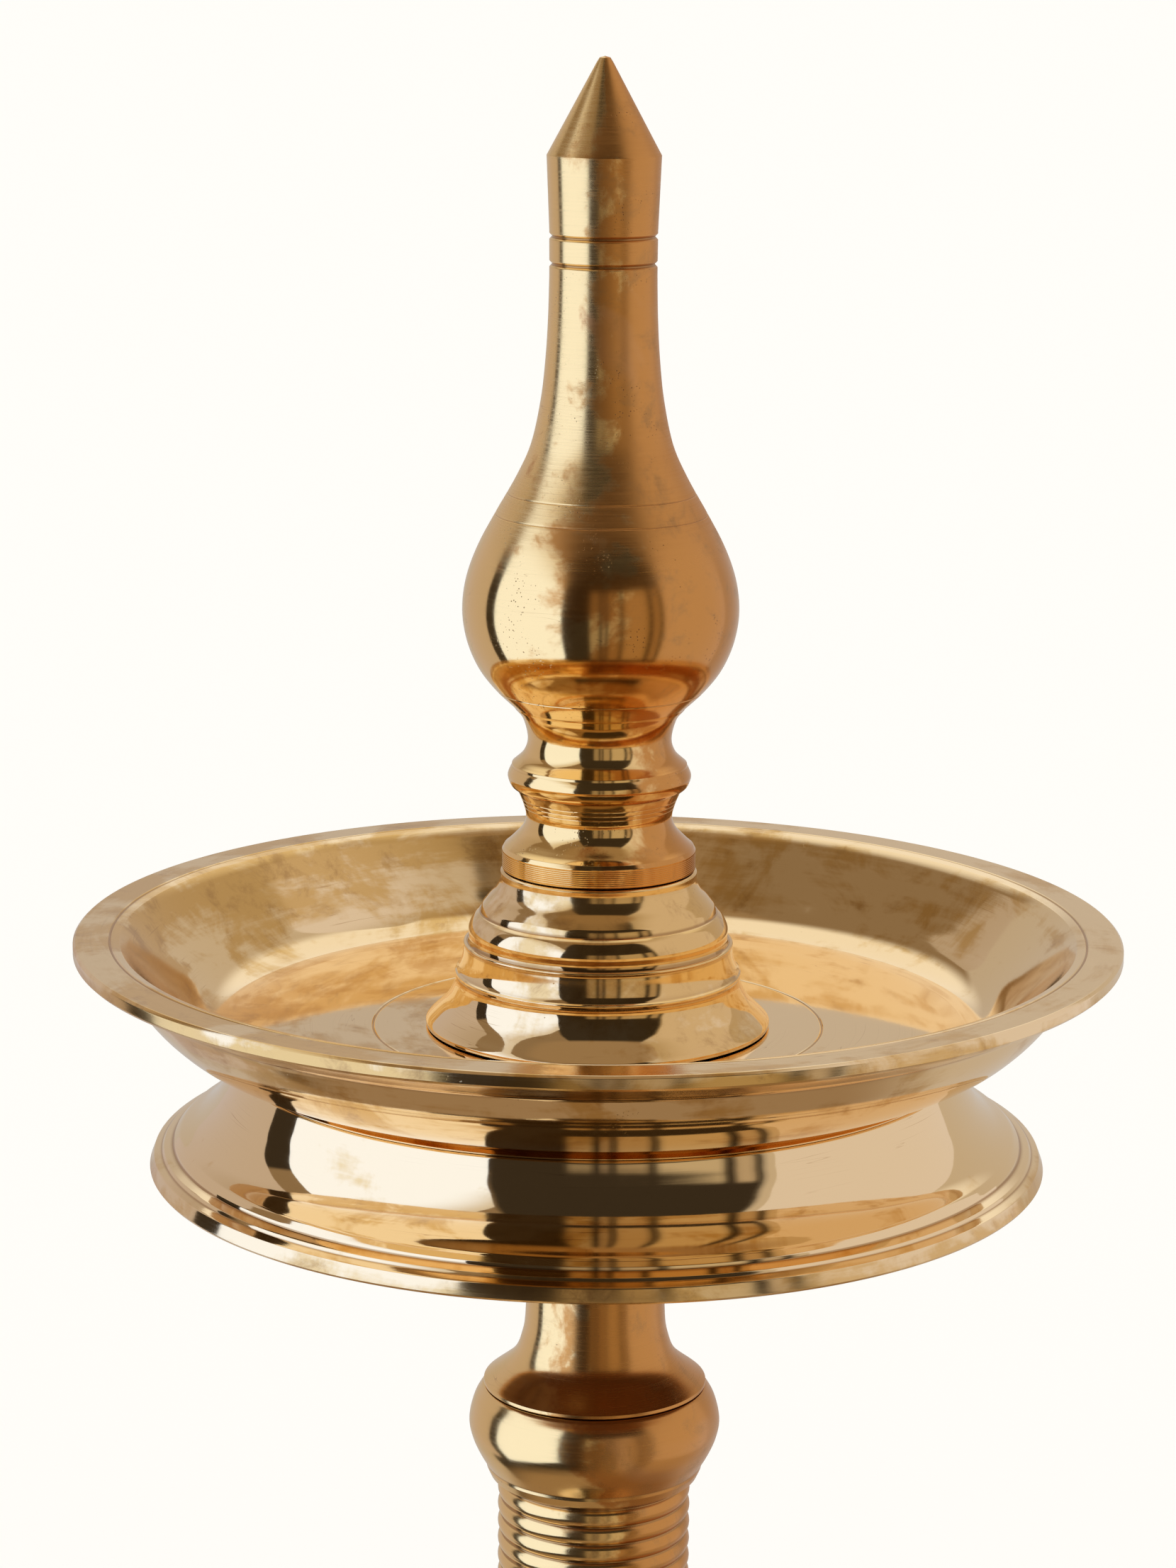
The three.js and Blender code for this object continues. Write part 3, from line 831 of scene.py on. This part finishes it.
def make_fasteners():
    """The studs, the nut and the washers."""
    cut = brass("thread_brass", THREAD_BRASS, BROWNED_BRASS, rough=(0.25, 0.25), lines=(0.004, 0.004),
                shift=2.2)
    steel = plated_steel()
    carriers = {
        "base_stud": "base", "lower_column_stud": "lower_column", "knop_stud": "knop",
        "upper_column_stud": "upper_column", "neck_stud": "neck", "boss_stud": "stepped_boss",
    }
    for node, body in carriers.items():
        finish_piece(stud(node), node, body, cut)

    finish_piece(hex_nut(), "base_nut", "base", steel)
    foot, thickness = foot_and_height("base_washer")
    ring = turned("base_washer_ring", washer_outline(NUT_WASHER_RADIUS, thickness), foot,
                  RING_SIDES)
    finish_piece(ring, "base_washer", "base", steel)
    foot, thickness = foot_and_height("sealing_washer")
    ring = turned("sealing_washer_ring", washer_outline(SEALING_WASHER_RADIUS, thickness), foot,
                  RING_SIDES)
    finish_piece(ring, "sealing_washer", "oil_bowl", fibre())


# ---- studio ---------------------------------------------------------------------------------------

# What the polished metal sees far off at lamp height: (from, to) in degrees, where 0 is towards the
# camera and -90 is its left, and the brightness of each part. Dark room lies between them.
DARK_ROOM = (0.042, 0.033, 0.024)
LOW_CEILING = (0.28, 0.21, 0.14)
FAR_WALL = (0.60, 0.55, 0.50)
FAR_ROOM = [
    ((-180, -123), (0.56, 0.52, 0.49)),
    ((-9, -1), (0.34, 0.28, 0.20)),
    ((0.5, 4), (0.30, 0.24, 0.18)),
    ((6, 16), (0.42, 0.34, 0.24)),
    ((19, 40), (0.56, 0.49, 0.38)),
    ((44, 50), (0.50, 0.42, 0.33)),
    ((53, 180), FAR_WALL),
]
ABOVE_WINDOWS = [((-180, -34), LOW_CEILING), ((53, 180), FAR_WALL)]
CEILING_LEFT = (0.34, 0.25, 0.16)
CEILING_RIGHT = (0.62, 0.54, 0.46)
OVERHEAD = (1.00, 1.02, 1.05)
LOW_FLOOR = (0.34, 0.25, 0.17)

# How far right a direction points where the ceiling starts to change, and where it has changed.
CEILING_CHANGE = (0.3, 0.5)

# The heights above the horizon, in degrees, at which one part of the room gives way to the next.
WINDOW_TOP = (23, 26)
CEILING_EDGE = (60, 66)
FLOOR_EDGE = (-42, -60)

# The bright patch overhead leans towards the back. It starts where the direction's height, plus this
# share of how far back it points, passes these two values.
OVERHEAD_LEAN = 0.6
OVERHEAD_EDGE = (0.86, 0.98)

# What matt surfaces and the camera see all round.
BACKDROP = (1.0, 0.983, 0.939)
MATT_STRENGTH = 0.86
CAMERA_STRENGTH = 1.02


def panel_ramp(tree, turn, panels, soft=1.2):
    """A colour ramp round the horizon, with soft-edged panels over the dark room.

    The first panel starts and the last one ends straight behind the lamp.
    """
    stops = []
    for (start, end), colour in panels:
        edge = min(soft, (end - start) / 3)
        stops += [(start - edge, DARK_ROOM), (start + edge, colour)]
        stops += [(end - edge, colour), (end + edge, DARK_ROOM)]
    stops = [((degrees + 180) / 360, colour) for degrees, colour in stops[1:-1]]
    ramp = add(tree, "ValToRGB", {0: turn})
    elements = ramp.color_ramp.elements
    elements.remove(elements[1])
    elements[0].position, elements[0].color = stops[0][0], (*stops[0][1], 1)
    for x, colour in stops[1:]:
        element = elements.new(x)
        element.color = (*colour, 1)
    return ramp.outputs[0]


def past(tree, z, edge):
    """How far a direction has passed an edge, which is two heights above the horizon in degrees."""
    start, end = edge
    return between(tree, z, math.sin(math.radians(start)), math.sin(math.radians(end)))


def studio_world():
    """White all round for the camera and for matt things; panels and dark gaps for the metal to reflect."""
    world = bpy.data.worlds.new("studio")
    world.use_nodes = True
    bpy.context.scene.world = world
    tree = world.node_tree
    tree.nodes.clear()
    output = add(tree, "OutputWorld")
    way = add(tree, "SeparateXYZ", {0: add(tree, "TexCoord").outputs["Generated"]})
    x, y, z = way.outputs
    turn = maths(tree, "ARCTAN2", x, multiplied(tree, y, -1.0))
    turn = total(tree, multiplied(tree, turn, 1 / (2 * math.pi)), 0.5)
    ceiling = mixed(tree, between(tree, x, *CEILING_CHANGE), CEILING_LEFT, CEILING_RIGHT)
    around = mixed(tree, past(tree, z, WINDOW_TOP), panel_ramp(tree, turn, FAR_ROOM),
                   panel_ramp(tree, turn, ABOVE_WINDOWS))
    around = mixed(tree, past(tree, z, CEILING_EDGE), around, ceiling)
    behind = total(tree, z, multiplied(tree, y, OVERHEAD_LEAN))
    around = mixed(tree, between(tree, behind, *OVERHEAD_EDGE), around, OVERHEAD)
    around = mixed(tree, past(tree, z, FLOOR_EDGE), around, LOW_FLOOR)
    seen = add(tree, "Background", {"Color": around, "Strength": 1.0})
    plain = add(tree, "Background", {"Color": (*BACKDROP, 1), "Strength": MATT_STRENGTH})
    white = add(tree, "Background", {"Color": (*BACKDROP, 1), "Strength": CAMERA_STRENGTH})
    path = add(tree, "LightPath")
    camera_ray, glossy_ray = path.outputs["Is Camera Ray"], path.outputs["Is Glossy Ray"]
    soft = add(tree, "MixShader", {0: camera_ray, 1: plain.outputs[0], 2: white.outputs[0]})
    mix = add(tree, "MixShader", {0: glossy_ray, 1: soft.outputs[0], 2: seen.outputs[0]})
    tree.links.new(mix.outputs[0], output.inputs[0])


FLOOR_REACH = 60
FLOOR_COLOUR = (0.93, 0.93, 0.93)


def studio_floor():
    """A plain pale floor that runs out to the horizon."""
    mesh = bpy.data.meshes.new("studio_floor")
    signs = ((-1, -1), (1, -1), (1, 1), (-1, 1))
    corners = [(x * FLOOR_REACH, y * FLOOR_REACH, 0) for x, y in signs]
    mesh.from_pydata(corners, [], [(0, 1, 2, 3)])
    floor = bpy.data.objects.new("studio_floor", mesh)
    bpy.context.scene.collection.objects.link(floor)
    material, tree, output = new_material("pale_floor")
    shader = add(tree, "BsdfDiffuse", {"Color": (*FLOOR_COLOUR, 1)})
    tree.links.new(shader.outputs[0], output.inputs[0])
    mesh.materials.append(material)
    floor.visible_glossy = False


# Diffusion screens beside the lamp, which only the metal sees. Each has a name, its place to the
# lamp's left (-) or right (+), its ends in front (-) and behind (+) and its top, in metres, and its
# brightness low down and at the top.
SCREENS = [
    ("left_screen", -0.45, (-0.72, 0.04), 1.16, (1.10, 1.36, 2.05), (0.75, 0.75, 0.78)),
    ("rear_screen", -0.45, (0.13, 0.75), 0.93, (0.58, 0.53, 0.54), (0.50, 0.44, 0.40)),
    ("right_screen", 0.60, (-0.45, 0.38), 1.80, (0.78, 0.76, 0.82), (0.60, 0.55, 0.50)),
]
SCREEN_FOOT = 0.03

# A screen dims over this share of its height above this level, which is in metres.
SCREEN_FADE = 0.45
FADE_FLOOR = 0.5


def screen(name, side, ends, top, low, high):
    """An upright screen of even light, dimmer towards its top."""
    front, back = ends
    corners = [(side, front, SCREEN_FOOT), (side, back, SCREEN_FOOT), (side, back, top), (side, front, top)]
    mesh = bpy.data.meshes.new(name)
    mesh.from_pydata(corners, [], [(0, 1, 2, 3)])
    piece = bpy.data.objects.new(name, mesh)
    bpy.context.scene.collection.objects.link(piece)
    material, tree, output = new_material(name)
    height = add(tree, "SeparateXYZ", {0: add(tree, "TexCoord").outputs["Object"]}).outputs[2]
    fade_start = top - SCREEN_FADE * (top - FADE_FLOOR)
    colour = mixed(tree, between(tree, height, fade_start, top), low, high)
    tree.links.new(add(tree, "Emission", {"Color": colour}).outputs[0], output.inputs[0])
    mesh.materials.append(material)
    piece.visible_camera = False
    piece.visible_diffuse = False
    piece.visible_shadow = False


# The soft light's brightness, colour and spread, and its turn and tilt, in degrees.
LIGHT_STRENGTH = 0.9
LIGHT_COLOUR = (1, 0.96, 0.92)
LIGHT_SPREAD = 50
LIGHT_TURN = -50
LIGHT_TILT = 38


def studio_light():
    """A broad soft light from the front left, which gives the floor its soft shadow."""
    light = bpy.data.lights.new("soft_light", "SUN")
    light.energy = LIGHT_STRENGTH
    light.color = LIGHT_COLOUR
    light.angle = math.radians(LIGHT_SPREAD)
    lamp = bpy.data.objects.new("soft_light", light)
    turn = Matrix.Rotation(math.radians(LIGHT_TURN), 4, "Z")
    lamp.matrix_world = turn @ Matrix.Rotation(math.radians(LIGHT_TILT), 4, "X")
    lamp.visible_glossy = False
    bpy.context.scene.collection.objects.link(lamp)


# The camera's place in metres, its angles in degrees and its lens in millimetres.
CAMERA_PLACE = (-0.00302, -1.0754, 0.8056)
CAMERA_PITCH = 12.314
CAMERA_ROLL = 0.42
CAMERA_LENS = 94.92


def camera():
    """The camera, which looks down on the bowl from in front."""
    data = bpy.data.cameras.new("camera")
    data.sensor_width = 36
    data.lens = CAMERA_LENS
    data.clip_start, data.clip_end = 0.05, 300
    tilt = Matrix.Rotation(math.radians(90 - CAMERA_PITCH), 4, "X")
    roll = Matrix.Rotation(math.radians(CAMERA_ROLL), 4, "Z")
    eye = bpy.data.objects.new("camera", data)
    eye.matrix_world = Matrix.Translation(CAMERA_PLACE) @ tilt @ roll
    bpy.context.scene.collection.objects.link(eye)
    bpy.context.scene.camera = eye


make_castings()
make_fasteners()
studio_world()
studio_floor()
studio_light()
for settings in SCREENS:
    screen(*settings)
camera()
bpy.context.scene.view_settings.view_transform = "Standard"
